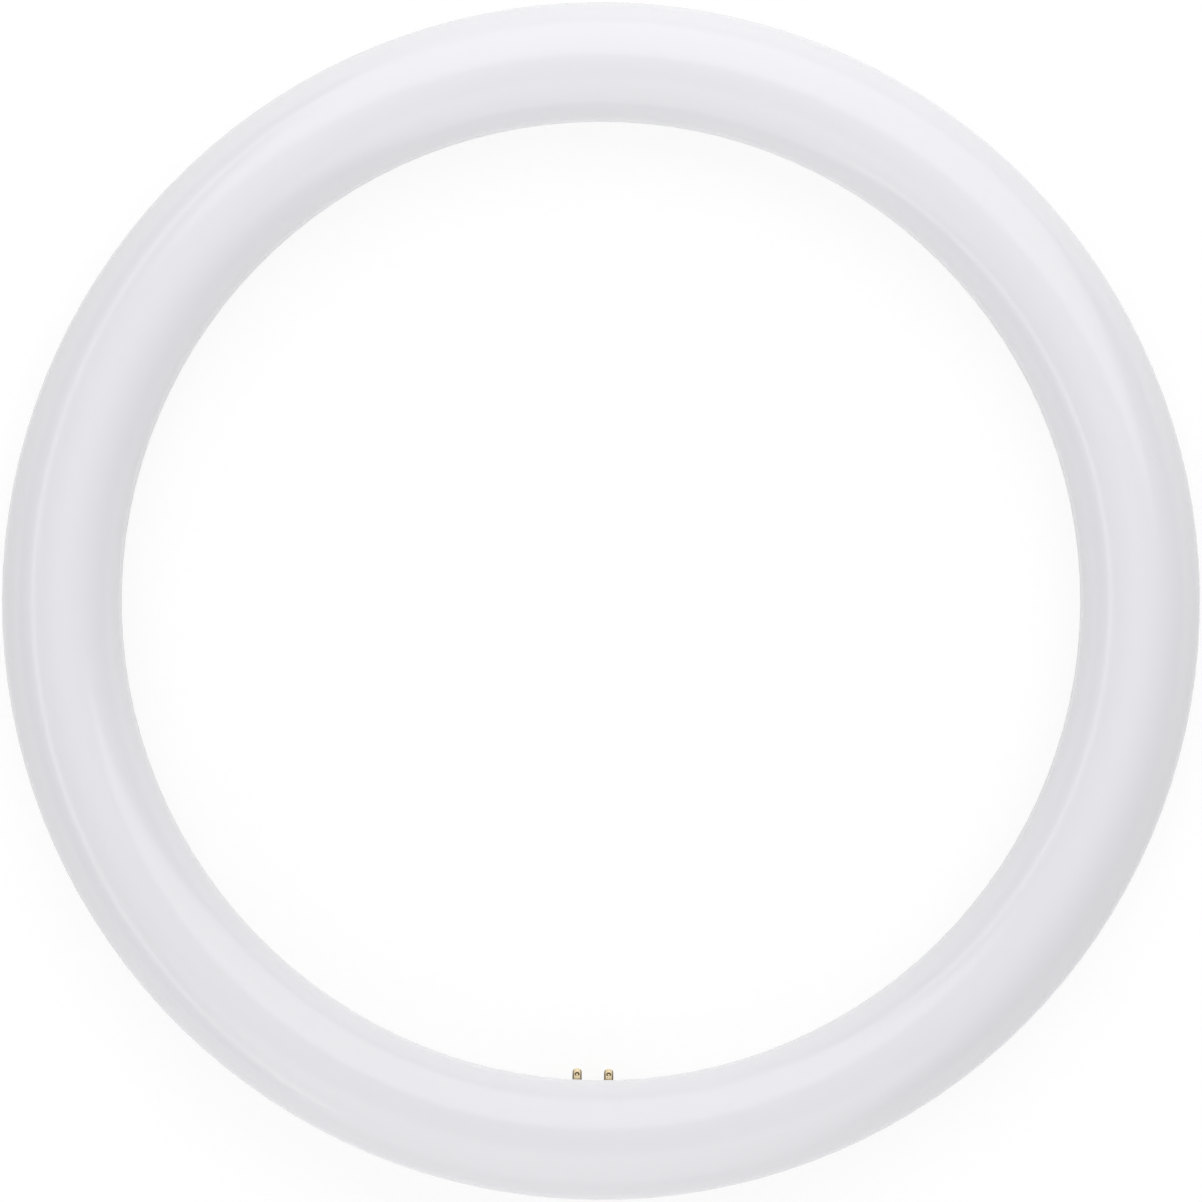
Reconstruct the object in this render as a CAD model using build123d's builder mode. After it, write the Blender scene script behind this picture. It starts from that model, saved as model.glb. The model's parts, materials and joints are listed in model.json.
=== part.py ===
from build123d import *
from math import cos, radians, sin
import os

# A circular lamp tube: a ring of round section, in two moulded shells, with four contact pins
# that point to the inside and the rear of the ring. The ring lies flat, front side up. X and Y
# are centred on the ring, Z is its axis, the base with the pins is on the -Y side, and z = 0 is
# the surface under the ring, which the two rear pins reach. Millimetres and degrees throughout.
# A place in the tube is given by its angle from the base, by how far outwards it is from the
# middle of the section, and by its height above the seam of the shells.

# Ring and its round section
ring_diameter = 300.0
tube_diameter = 30.0
wall = 1.6

# Lap joint where the two shells meet, half way up the section
lip_thickness = 0.8
rebate_depth = 1.6
lap_clearance = 0.1
seam_chamfer = 0.2

# Base: a moulded holder, flush in a flat on the inside of the rear shell
base_angle = -90.0
base_tilt = 45.0
base_face_distance = 14.0
flat_length = 32.0
flat_slope = 0.8
flange_length = 22.0
flange_height = 12.0
flange_thickness = 1.5
flange_corner = 3.0
flange_edge_round = 0.4
plug_length = 17.0
plug_height = 9.6
plug_depth = 3.5
plug_corner = 1.5
base_clearance = 0.1
boss_length = 36.0
boss_height = 16.0
boss_thickness = 2.0
hook_reach = 0.7
hook_width = 5.0

# Contact pins
pin_diameter = 2.35
pin_length = 7.0
pin_pitch_along = 7.92
pin_pitch_across = 6.35
pin_tip_round = 0.5
pin_shank_diameter = 2.8
pin_collar_diameter = 4.0
pin_collar_thickness = 0.8
pin_tail = 0.6
pin_bore = 1.2
pin_bore_depth = 8.0
pin_fit = 0.03
dimple_diameter = 1.3
dimple_depth = 0.35
dimple_from_tip = 2.2

# Lamp board with its light-emitting diodes
board_width = 20.0
board_thickness = 1.0
board_below_seam = 0.8
diode_count = 96
diode_length = 3.5
diode_width = 2.8
diode_height = 0.7

# Screws that hold the lamp board, and the ribs and posts under it
screw_count = 6
screw_offset = 6.0
screw_diameter = 2.0
screw_length = 7.0
screw_point = 0.5
screw_head_diameter = 4.0
screw_head_height = 1.4
screw_head_bevel = 0.5
screw_recess_depth = 0.7
screw_recess_length = 2.4
screw_recess_width = 0.6
screw_clearance = 0.1
screw_bite = 0.05
post_diameter = 5.5
rib_thickness = 1.4
rib_spacing = 30.0
first_rib = 2
rib_end = 12

# Insulating film on the underside of the lamp board, above the driver
film_thickness = 0.3
film_width = 16.0
film_start = 12.0
film_span = 36.0

# Driver board, on three low ribs beside the base
driver_start = 9.0
driver_span = 43.0
driver_width = 14.0
driver_thickness = 1.0
driver_lift = 2.8
driver_rib_inset = 4.0
driver_clearance = 0.1
driver_stop_height = 1.2
part_gap = 0.05

# Parts on the driver board: places are an angle from the base and an offset outwards
leg_diameter = 0.6
leg_bend = 0.6
leg_reach = 1.0
varistor_place = (14.8, -3.0)
varistor_diameter = 7.0
varistor_thickness = 4.0
varistor_round = 1.2
varistor_legs = 5.0
varistor_leg_shift = 1.6
varistor_lift = 0.5
fuse_place = (14.8, 4.2)
fuse_diameter = 3.0
fuse_length = 8.0
fuse_lift = 0.4
film_capacitor_place = (20.3, -3.4)
film_capacitor_length = 10.0
film_capacitor_width = 5.0
film_capacitor_height = 6.3
film_capacitor_round = 0.5
inductor_place = (20.3, 3.4)
inductor_diameter = 6.0
inductor_height = 6.5
inductor_hub = 3.0
inductor_flange = 1.0
inductor_winding_depth = 0.4
can_diameter = 6.3
can_round = 0.4
can_groove = 0.35
can_groove_width = 0.8
can_groove_from_end = 1.8
can_legs = 2.5
input_capacitor_place = (29.5, -3.4)
input_capacitor_length = 10.5
output_capacitor_place = (45.0, -3.4)
output_capacitor_length = 9.0
bridge_place = (24.5, 0.0)
bridge_size = (4.7, 3.9, 2.5)
bridge_leg_count = 2
bridge_leg_pitch = 2.5
bridge_leg_width = 0.7
chip_place = (29.5, 4.0)
chip_size = (4.9, 3.0, 1.5)
chip_leg_count = 4
chip_leg_pitch = 1.27
chip_leg_width = 0.4
diode_place = (40.8, 3.0)
diode_size = (2.6, 4.3, 2.2)
diode_leg_count = 1
diode_leg_pitch = 1.0
diode_leg_width = 1.5
package_leg_thickness = 0.25
package_leg_reach = 0.7
package_bevel = 0.2
resistor_places = (
    (24.5, 5.2),
    (24.5, -5.2),
    (33.0, 4.6),
    (40.6, -3.2),
    (43.6, 1.6),
    (43.6, 4.6),
    (46.4, 2.0),
)
resistor_length = 3.2
resistor_width = 1.6
resistor_height = 0.6

# Transformer, with the middle leg of its core along the ring
transformer_place = (36.3, 0.0)
core_length = 11.0
core_width = 10.2
core_thickness = 3.8
core_window_length = 8.0
core_window_width = 2.35
core_middle_leg = 2.5
bobbin_wall = 0.5
bobbin_height = 6.8
bobbin_flange = 0.6
bobbin_clearance = 0.1
winding_below_flange = 0.2

# Insulated leads, from the pins to the driver board and from there to the lamp board
pin_lead_diameter = 1.4
pin_lead_stub = 1.9
pin_lead_bend = 1.3
pin_lead_inner_row = 0.8
pin_lead_pass = 9.0
pin_lead_inset = 1.2
front_right_lead_end = (-5.0, -3.0)
front_left_lead_end = (-1.7, -5.0)
rear_left_lead_end = (1.7, -5.2)
rear_right_lead_end = (5.0, -6.5)
lamp_lead_inset = 1.5
lamp_lead_offset = 6.0
lamp_lead_diameter = 1.2
lamp_lead_bend = 1.4
lamp_lead_spacing = 3.0
lamp_lead_rise = 2.2
lamp_lead_run = 3.4
slot_length = 6.0
slot_width = 1.8

# Worked out from the sizes above
section_radius = tube_diameter / 2
ring_radius = (ring_diameter - tube_diameter) / 2
inner_radius = section_radius - wall
pin_radius = pin_diameter / 2
pin_tip_distance = base_face_distance + pin_length
seat_distance = base_face_distance - flange_thickness
plug_end_distance = seat_distance - plug_depth
pin_tail_distance = plug_end_distance - pin_collar_thickness - pin_tail
boss_inner_distance = seat_distance - boss_thickness
tilt_sin = sin(radians(base_tilt))
tilt_cos = cos(radians(base_tilt))
pin_reach_down = (
    (pin_tip_distance - pin_tip_round) * tilt_sin
    + (pin_pitch_across / 2 + pin_radius - pin_tip_round) * tilt_cos
    + pin_tip_round
)
seam_height = max(section_radius, pin_reach_down)
board_bottom = -board_below_seam
board_top = board_bottom + board_thickness
driver_bottom = -(inner_radius - driver_lift)
driver_top = driver_bottom + driver_thickness
driver_end = driver_start + driver_span
driver_middle = (driver_start + driver_end) / 2
driver_rib_angles = (
    driver_start + driver_rib_inset,
    driver_middle,
    driver_end - driver_rib_inset,
)
pin_lead_angle = driver_start + pin_lead_inset
lamp_lead_angle = driver_end - lamp_lead_inset


def ring_plane(angle, outward=0, up=0):
    """The plane across the tube at a place in it: x points outwards and y up."""
    at = radians(base_angle + angle)
    outwards = Vector(cos(at), sin(at), 0)
    origin = outwards * (ring_radius + outward) + Vector(0, 0, seam_height + up)
    return Plane(origin=origin, x_dir=outwards, z_dir=Vector(sin(at), -cos(at), 0))


def level_plane(angle, outward, up):
    """The level plane at a place in the tube: x runs along the ring, y to its centre."""
    at = radians(base_angle + angle)
    origin = ring_plane(angle, outward, up).origin
    return Plane(origin=origin, x_dir=Vector(-sin(at), cos(at), 0), z_dir=(0, 0, 1))


def ring_pattern(offset, count, angle=0):
    """Places spread evenly round the ring, the first at an angle from the base."""
    return PolarLocations(ring_radius + offset, count, start_angle=base_angle + angle)


def wire(points, bend, diameter):
    """A round wire along straight runs with equal bends."""
    with BuildPart() as piece:
        with BuildLine() as route:
            FilletPolyline(*points, radius=[bend] * (len(points) - 2))
        with BuildSketch(Plane(origin=route.line @ 0, z_dir=route.line % 0)):
            Circle(diameter / 2)
        sweep(path=route.line)
    return piece.part


def export(piece, name):
    """Labels a finished piece and writes its file."""
    piece.part.label = name
    export_step(piece.part, f"parts/{name}.step")


os.makedirs("parts", exist_ok=True)

section_plane = ring_plane(0)

# The plane of the base starts at the middle of the section: x runs along the ring, y to the
# rear, and z out through the base and along the pins.
base_plane = Plane(
    origin=section_plane.origin,
    x_dir=(1, 0, 0),
    z_dir=(0, tilt_cos, -tilt_sin),
)

# The same plane turned, to draw on along the ring: x as above, y out through the base
side_plane = Plane(origin=base_plane.origin, x_dir=(1, 0, 0), z_dir=-base_plane.y_dir)

# Front diffuser: the front half of the tube, with a tongue that drops into the rear shell
tongue_width = wall - lip_thickness - lap_clearance
tongue_depth = rebate_depth - lap_clearance
with BuildPart() as front_diffuser:
    with BuildSketch(section_plane):
        Circle(section_radius)
        Circle(inner_radius, mode=Mode.SUBTRACT)
        Rectangle(
            tube_diameter,
            tube_diameter,
            align=(Align.CENTER, Align.MAX),
            mode=Mode.SUBTRACT,
        )
        seam_corners = vertices().group_by(Axis.Y)[0].sort_by(Axis.X)
        chamfer([seam_corners[0], seam_corners[-1]], seam_chamfer)
        for side in (1, -1):
            with Locations((side * (inner_radius + tongue_width / 2), 0)):
                Rectangle(tongue_width, 2 * tongue_depth)
    revolve(axis=Axis.Z)
export(front_diffuser, "front_diffuser")

# What stands inside the rear shell: ribs and posts for the boards, and the block for the base
rib_angles = [k * rib_spacing for k in range(first_rib, rib_end)]
with BuildPart() as inner_supports:
    with BuildSketch(*[ring_plane(angle) for angle in rib_angles]):
        Rectangle(tube_diameter, tube_diameter)
    extrude(amount=rib_thickness / 2, both=True)

    # Three low ribs carry the driver board, and their ends stand up beside its edges
    driver_slot = driver_width + 2 * driver_clearance
    stop_top = driver_thickness + driver_stop_height
    with BuildSketch(*[ring_plane(angle, 0, driver_bottom) for angle in driver_rib_angles]):
        with Locations((0, stop_top)):
            Rectangle(tube_diameter, section_radius, align=(Align.CENTER, Align.MAX))
        Rectangle(
            driver_slot,
            stop_top,
            align=(Align.CENTER, Align.MIN),
            mode=Mode.SUBTRACT,
        )
    extrude(amount=rib_thickness / 2, both=True)

    with BuildSketch(Plane.XY.offset(seam_height + board_bottom)):
        with ring_pattern(screw_offset, screw_count):
            Circle(post_diameter / 2)
    extrude(amount=-section_radius)

    with BuildSketch(base_plane.offset(boss_inner_distance)):
        Rectangle(boss_length, boss_height)
    extrude(amount=section_radius)

    # Everything is cut to the round of the shell, and to the underside of the lamp board
    with BuildSketch(section_plane):
        Circle(section_radius - wall / 2)
        with Locations((0, -rebate_depth)):
            Rectangle(
                tube_diameter,
                tube_diameter,
                align=(Align.CENTER, Align.MIN),
                mode=Mode.SUBTRACT,
            )
        with Locations((0, board_bottom)):
            Rectangle(board_width, section_radius / 2, align=(Align.CENTER, Align.MAX))
    revolve(axis=Axis.Z, mode=Mode.INTERSECT)

# Rear housing: the rear half of the tube, with a rebate inside its lip
with BuildPart() as rear_housing:
    with BuildSketch(section_plane):
        Circle(section_radius)
        Circle(inner_radius, mode=Mode.SUBTRACT)
        Rectangle(
            tube_diameter,
            tube_diameter,
            align=(Align.CENTER, Align.MIN),
            mode=Mode.SUBTRACT,
        )
        Rectangle(
            2 * (section_radius - lip_thickness),
            2 * rebate_depth,
            mode=Mode.SUBTRACT,
        )
        seam_corners = vertices().group_by(Axis.Y)[-1].sort_by(Axis.X)
        chamfer([seam_corners[0], seam_corners[-1]], seam_chamfer)
    revolve(axis=Axis.Z)
    add(inner_supports.part)

    # Screw holes in the posts
    with BuildSketch(Plane.XY.offset(seam_height + board_bottom)):
        with ring_pattern(screw_offset, screw_count):
            Circle((screw_diameter + screw_bite) / 2)
    extrude(amount=-(screw_length - board_thickness + screw_clearance), mode=Mode.SUBTRACT)

    # Flat for the face of the base, with a ramp at each end
    flat_half = flat_length / 2
    ramp_run = section_radius
    with BuildSketch(side_plane):
        with BuildLine():
            Polyline(
                (-flat_half, base_face_distance),
                (flat_half, base_face_distance),
                (flat_half + ramp_run, base_face_distance + ramp_run * flat_slope),
                (-flat_half - ramp_run, base_face_distance + ramp_run * flat_slope),
                close=True,
            )
        make_face()
    extrude(amount=section_radius, both=True, mode=Mode.SUBTRACT)

    # Recess for the flange, and the window for the plug
    with BuildSketch(base_plane.offset(seat_distance)):
        RectangleRounded(
            flange_length + 2 * base_clearance,
            flange_height + 2 * base_clearance,
            flange_corner + base_clearance,
        )
    extrude(amount=section_radius, mode=Mode.SUBTRACT)
    with BuildSketch(base_plane.offset(seat_distance)):
        RectangleRounded(
            plug_length + 2 * base_clearance,
            plug_height + 2 * base_clearance,
            plug_corner + base_clearance,
        )
    extrude(amount=-2 * boss_thickness, mode=Mode.SUBTRACT)
export(rear_housing, "rear_housing")

# Pin base: a flange in the recess, a plug through the window, and a snap hook at each end
with BuildPart() as pin_base:
    with BuildSketch(base_plane.offset(seat_distance)):
        RectangleRounded(flange_length, flange_height, flange_corner)
    extrude(amount=flange_thickness)
    outer_face = faces().sort_by(Axis(base_plane.origin, base_plane.z_dir))[-1]
    fillet(outer_face.edges(), flange_edge_round)
    with BuildSketch(base_plane.offset(seat_distance)):
        RectangleRounded(plug_length, plug_height, plug_corner)
    extrude(amount=-plug_depth)

    hook_distance = boss_inner_distance - base_clearance
    plug_side = plug_length / 2
    with BuildSketch(side_plane):
        with BuildLine():
            Polyline(
                (plug_side - hook_reach, hook_distance),
                (plug_side + hook_reach, hook_distance),
                (plug_side, plug_end_distance),
                (plug_side - hook_reach, plug_end_distance),
                close=True,
            )
        make_face()
        mirror(about=Plane.YZ)
    extrude(amount=hook_width / 2, both=True)

    with BuildSketch(base_plane.offset(base_face_distance)):
        with GridLocations(pin_pitch_along, pin_pitch_across, 2, 2):
            Circle(pin_shank_diameter / 2 + pin_fit)
    extrude(amount=-(flange_thickness + plug_depth), mode=Mode.SUBTRACT)
export(pin_base, "pin_base")

# Contact pins: turned brass, with a shank in the base, a collar behind the plug, a bore for the
# lead's wire, and a round crimp mark near the tip on the outer side of each row
dimple_sphere = ((dimple_diameter / 2) ** 2 + dimple_depth**2) / (2 * dimple_depth)
pin_rows = {"front": -1, "rear": 1}
pin_sides = {"left": -1, "right": 1}
for row, row_side in pin_rows.items():
    for end, end_side in pin_sides.items():
        pin_x = end_side * pin_pitch_along / 2
        pin_y = row_side * pin_pitch_across / 2
        pin_place = Plane(base_plane * Location((pin_x, pin_y, 0)))
        with BuildPart() as contact_pin:
            with BuildSketch(pin_place.offset(pin_tail_distance)):
                Circle(pin_radius)
            extrude(amount=pin_tip_distance - pin_tail_distance)
            tip = faces().sort_by(Axis(base_plane.origin, base_plane.z_dir))[-1]
            fillet(tip.edges(), pin_tip_round)
            with BuildSketch(pin_place.offset(plug_end_distance)):
                Circle(pin_shank_diameter / 2)
            extrude(amount=base_face_distance - plug_end_distance)
            with BuildSketch(pin_place.offset(plug_end_distance)):
                Circle(pin_collar_diameter / 2)
            extrude(amount=-pin_collar_thickness)
            with BuildSketch(pin_place.offset(pin_tail_distance)):
                Circle(pin_bore / 2)
            extrude(amount=pin_bore_depth, mode=Mode.SUBTRACT)
            dimple_reach = pin_radius + dimple_sphere - dimple_depth
            dimple_distance = pin_tip_distance - dimple_from_tip
            dimple_place = (0, row_side * dimple_reach, dimple_distance)
            with Locations(pin_place.from_local_coords(dimple_place)):
                Sphere(dimple_sphere, mode=Mode.SUBTRACT)
        export(contact_pin, f"contact_pin_{row}_{end}")

# Lamp board: a flat ring on the ribs and posts, with a slot for the lamp leads
with BuildPart() as led_board:
    with BuildSketch(Plane.XY.offset(seam_height + board_bottom)):
        Circle(ring_radius + board_width / 2)
        Circle(ring_radius - board_width / 2, mode=Mode.SUBTRACT)
        with ring_pattern(screw_offset, screw_count):
            Circle(screw_diameter / 2 + screw_clearance, mode=Mode.SUBTRACT)
        with ring_pattern(lamp_lead_offset, 1, lamp_lead_angle):
            SlotOverall(slot_length, slot_width, rotation=90, mode=Mode.SUBTRACT)
    extrude(amount=board_thickness)
export(led_board, "led_board")

# Diodes, in one row round the board
with BuildPart() as led_packages:
    with BuildSketch(Plane.XY.offset(seam_height + board_top)):
        with ring_pattern(0, diode_count, 180 / diode_count):
            Rectangle(diode_width, diode_length)
    extrude(amount=diode_height)
export(led_packages, "led_packages")

# Screws with a cross recess
with BuildPart() as board_screws:
    with BuildSketch(Plane.XY.offset(seam_height + board_top)):
        with ring_pattern(screw_offset, screw_count):
            Circle(screw_head_diameter / 2)
    extrude(amount=screw_head_height)
    chamfer(faces().group_by(Axis.Z)[-1].edges(), screw_head_bevel)
    with BuildSketch(Plane.XY.offset(seam_height + board_top)):
        with ring_pattern(screw_offset, screw_count):
            Circle(screw_diameter / 2)
    extrude(amount=-screw_length)
    chamfer(faces().group_by(Axis.Z)[0].edges(), screw_point)
    with BuildSketch(Plane.XY.offset(seam_height + board_top + screw_head_height)):
        with ring_pattern(screw_offset, screw_count):
            Rectangle(screw_recess_length, screw_recess_width)
            Rectangle(screw_recess_width, screw_recess_length)
    extrude(amount=-screw_recess_depth, mode=Mode.SUBTRACT)
export(board_screws, "board_screws")

# Insulating film, on the underside of the lamp board
with BuildPart() as insulation_film:
    with BuildSketch(ring_plane(film_start, 0, board_bottom)):
        Rectangle(film_width, film_thickness, align=(Align.CENTER, Align.MAX))
    revolve(axis=Axis.Z, revolution_arc=film_span)
export(insulation_film, "insulation_film")

# Driver board: an arc that lies on the low ribs
with BuildPart() as driver_board:
    with BuildSketch(ring_plane(driver_start, 0, driver_bottom)):
        Rectangle(driver_width, driver_thickness, align=(Align.CENTER, Align.MIN))
    revolve(axis=Axis.Z, revolution_arc=driver_span)
export(driver_board, "driver_board")

# Varistor: a coated disc that stands on two legs
with BuildPart() as varistor:
    disc_height = varistor_lift + varistor_diameter / 2
    with BuildSketch(ring_plane(*varistor_place, driver_top + disc_height)):
        Circle(varistor_diameter / 2)
    extrude(amount=varistor_thickness / 2, both=True)
    fillet(edges().filter_by(GeomType.CIRCLE), varistor_round)
    with BuildSketch(level_plane(*varistor_place, driver_top)):
        with Locations(
            (varistor_leg_shift / 2, varistor_legs / 2),
            (-varistor_leg_shift / 2, -varistor_legs / 2),
        ):
            Circle(leg_diameter / 2)
    extrude(amount=disc_height)
export(varistor, "varistor")

# Fuse resistor: a lying body on a wire that is bent down at both ends
with BuildPart() as fuse_resistor:
    fuse_centre = level_plane(*fuse_place, driver_top + fuse_lift + fuse_diameter / 2)
    fuse_end = fuse_length / 2 + leg_reach
    fuse_drop = -(fuse_lift + fuse_diameter / 2)
    fuse_route = [(-fuse_end, fuse_drop), (-fuse_end, 0), (fuse_end, 0), (fuse_end, fuse_drop)]
    fuse_points = [fuse_centre.from_local_coords((x, 0, z)) for x, z in fuse_route]
    with BuildSketch(ring_plane(*fuse_place, driver_top - fuse_drop)):
        Circle(fuse_diameter / 2)
    extrude(amount=fuse_length / 2, both=True)
    add(wire(fuse_points, leg_bend, leg_diameter))
export(fuse_resistor, "fuse_resistor")

# Film capacitor: a moulded block
with BuildPart() as film_capacitor:
    with BuildSketch(level_plane(*film_capacitor_place, driver_top)):
        RectangleRounded(film_capacitor_length, film_capacitor_width, film_capacitor_round)
    extrude(amount=film_capacitor_height)
export(film_capacitor, "film_capacitor")

# Drum inductor: a ferrite core and the winding between its flanges
inductor_plane = level_plane(*inductor_place, driver_top)
with BuildPart() as inductor_core:
    with BuildSketch(inductor_plane):
        Circle(inductor_hub / 2)
    extrude(amount=inductor_height)
    top_flange_plane = inductor_plane.offset(inductor_height - inductor_flange)
    with BuildSketch(inductor_plane, top_flange_plane):
        Circle(inductor_diameter / 2)
    extrude(amount=inductor_flange)
export(inductor_core, "inductor_core")

with BuildPart() as inductor_winding:
    with BuildSketch(inductor_plane.offset(inductor_flange)):
        Circle(inductor_diameter / 2 - inductor_winding_depth)
        Circle(inductor_hub / 2, mode=Mode.SUBTRACT)
    extrude(amount=inductor_height - 2 * inductor_flange)
export(inductor_winding, "inductor_winding")


def lying_capacitor(place, length):
    """An aluminium can that lies along the ring, with a crimp groove and two bent legs."""
    axis_height = can_diameter / 2 + part_gap
    leg_end = length / 2 + leg_reach
    can_centre = level_plane(*place, driver_top + axis_height)
    across = ring_plane(*place, driver_top + axis_height)
    groove_plane = across.offset(-(length / 2 - can_groove_from_end))
    with BuildPart() as can:
        with BuildSketch(across):
            Circle(can_diameter / 2)
        extrude(amount=length / 2, both=True)
        fillet(edges().filter_by(GeomType.CIRCLE), can_round)
        with BuildSketch(groove_plane):
            Circle(can_diameter)
            Circle(can_diameter / 2 - can_groove, mode=Mode.SUBTRACT)
        extrude(amount=can_groove_width, mode=Mode.SUBTRACT)
        for side in (1, -1):
            y = side * can_legs / 2
            leg_route = [(leg_reach, y, 0), (leg_end, y, 0), (leg_end, y, -axis_height)]
            leg_points = [can_centre.from_local_coords(point) for point in leg_route]
            add(wire(leg_points, leg_bend, leg_diameter))
    return can


export(lying_capacitor(input_capacitor_place, input_capacitor_length), "input_capacitor")
export(lying_capacitor(output_capacitor_place, output_capacitor_length), "output_capacitor")


def surface_package(place, size, leg_count, leg_pitch, leg_width):
    """A moulded package that lies on the driver board, with flat legs on two sides."""
    length, width, height = size
    package_plane = level_plane(*place, driver_top)
    with BuildPart() as package:
        with BuildSketch(package_plane.offset(package_leg_thickness / 2)):
            Rectangle(length, width)
        extrude(amount=height - package_leg_thickness / 2)
        chamfer(faces().sort_by(Axis.Z)[-1].edges(), package_bevel)
        with BuildSketch(package_plane):
            with GridLocations(leg_pitch, width, leg_count, 1):
                Rectangle(leg_width, width + 2 * package_leg_reach)
        extrude(amount=package_leg_thickness)
    return package


bridge_legs = (bridge_leg_count, bridge_leg_pitch, bridge_leg_width)
export(surface_package(bridge_place, bridge_size, *bridge_legs), "bridge_rectifier")
chip_legs = (chip_leg_count, chip_leg_pitch, chip_leg_width)
export(surface_package(chip_place, chip_size, *chip_legs), "control_chip")
diode_legs = (diode_leg_count, diode_leg_pitch, diode_leg_width)
export(surface_package(diode_place, diode_size, *diode_legs), "output_diode")

# Chip resistors, flat on the driver board
with BuildPart() as chip_resistors:
    with BuildSketch(*[level_plane(*place, driver_top) for place in resistor_places]):
        Rectangle(resistor_length, resistor_width)
    extrude(amount=resistor_height)
export(chip_resistors, "chip_resistors")

# Transformer core: its two windows lie on both sides of the middle leg
transformer_centre = level_plane(*transformer_place, driver_top + bobbin_height / 2)
window_step = core_middle_leg + core_window_width
with BuildPart() as transformer_core:
    with BuildSketch(transformer_centre):
        Rectangle(core_length, core_width)
        with GridLocations(core_length, window_step, 1, 2):
            Rectangle(core_window_length, core_window_width, mode=Mode.SUBTRACT)
    extrude(amount=core_thickness / 2, both=True)
export(transformer_core, "transformer_core")

# Transformer bobbin: a tube round the middle leg with a flange at each end
bobbin_length = core_window_length - 2 * bobbin_clearance
bobbin_width = core_middle_leg + 2 * core_window_width - 2 * bobbin_clearance
bore_width = core_middle_leg + 2 * bobbin_clearance
bore_height = core_thickness + 2 * bobbin_clearance
tube_width = bore_width + 2 * bobbin_wall
tube_height = bore_height + 2 * bobbin_wall
bobbin_plane = ring_plane(*transformer_place, driver_top + bobbin_height / 2)
with BuildPart() as transformer_bobbin:
    with BuildSketch(bobbin_plane):
        Rectangle(tube_width, tube_height)
    extrude(amount=bobbin_length / 2, both=True)
    flange_at = (bobbin_length - bobbin_flange) / 2
    with BuildSketch(bobbin_plane.offset(flange_at), bobbin_plane.offset(-flange_at)):
        Rectangle(bobbin_width, bobbin_height)
    extrude(amount=bobbin_flange / 2, both=True)
    with BuildSketch(bobbin_plane):
        Rectangle(bore_width, bore_height)
    extrude(amount=bobbin_length, both=True, mode=Mode.SUBTRACT)
export(transformer_bobbin, "transformer_bobbin")

# Transformer winding, on the bobbin between its flanges
with BuildPart() as transformer_winding:
    with BuildSketch(bobbin_plane):
        Rectangle(
            bobbin_width - 2 * winding_below_flange,
            bobbin_height - 2 * winding_below_flange,
        )
        Rectangle(tube_width, tube_height, mode=Mode.SUBTRACT)
    extrude(amount=bobbin_length / 2 - bobbin_flange, both=True)
export(transformer_winding, "transformer_winding")

# Pin leads: each leaves its pin's tail, turns along the ring and ends on the driver board. The
# leads of the left pins pass between the two rows of the right pins.
stub_distance = pin_tail_distance - pin_lead_stub
lead_ends = {
    ("front", "right"): front_right_lead_end,
    ("front", "left"): front_left_lead_end,
    ("rear", "left"): rear_left_lead_end,
    ("rear", "right"): rear_right_lead_end,
}
with BuildPart() as pin_leads:
    for (row, end), (end_outward, end_height) in lead_ends.items():
        pin_x = pin_sides[end] * pin_pitch_along / 2
        pin_y = pin_rows[row] * pin_pitch_across / 2
        route = [(pin_x, pin_y, pin_tail_distance), (pin_x, pin_y, stub_distance)]
        if end == "left":
            pass_y = pin_rows[row] * pin_lead_inner_row
            route.append((0, pass_y, stub_distance))
        else:
            pass_y = pin_y
        route.append((pin_lead_pass, pass_y, stub_distance))
        points = [base_plane.from_local_coords(point) for point in route]
        points.append(ring_plane(pin_lead_angle, end_outward, end_height).origin)
        points.append(ring_plane(pin_lead_angle, end_outward, driver_top).origin)
        add(wire(points, pin_lead_bend, pin_lead_diameter))
export(pin_leads, "pin_leads")

# Lamp leads: up from the driver board through the slot, and over onto the lamp board
lead_top = board_top + lamp_lead_rise
spread = lamp_lead_spacing / 2
with BuildPart() as lamp_leads:
    lamp_plane = level_plane(lamp_lead_angle, lamp_lead_offset, 0)
    for x in (-spread, spread):
        route = [
            (x, 0, driver_top),
            (x, 0, lead_top),
            (x, lamp_lead_run, lead_top),
            (x, lamp_lead_run, board_top),
        ]
        points = [lamp_plane.from_local_coords(point) for point in route]
        add(wire(points, lamp_lead_bend, lamp_lead_diameter))
export(lamp_leads, "lamp_leads")
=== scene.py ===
# %% [markdown]
# # A ring-shaped lamp tube
#
# The real object is a ring lamp: an opal front shell and a white rear shell, both half round in
# section, joined by a seam half way up. On the inside of the ring a small moulded base carries
# four brass pins. Inside are a ring-shaped lamp board with its diodes and a small driver. The CAD
# model gives every piece its size and place. This lesson models the shell that fills the picture
# again as a smooth mesh, and gives every piece the look of what it is made of.

import json
import math

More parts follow.
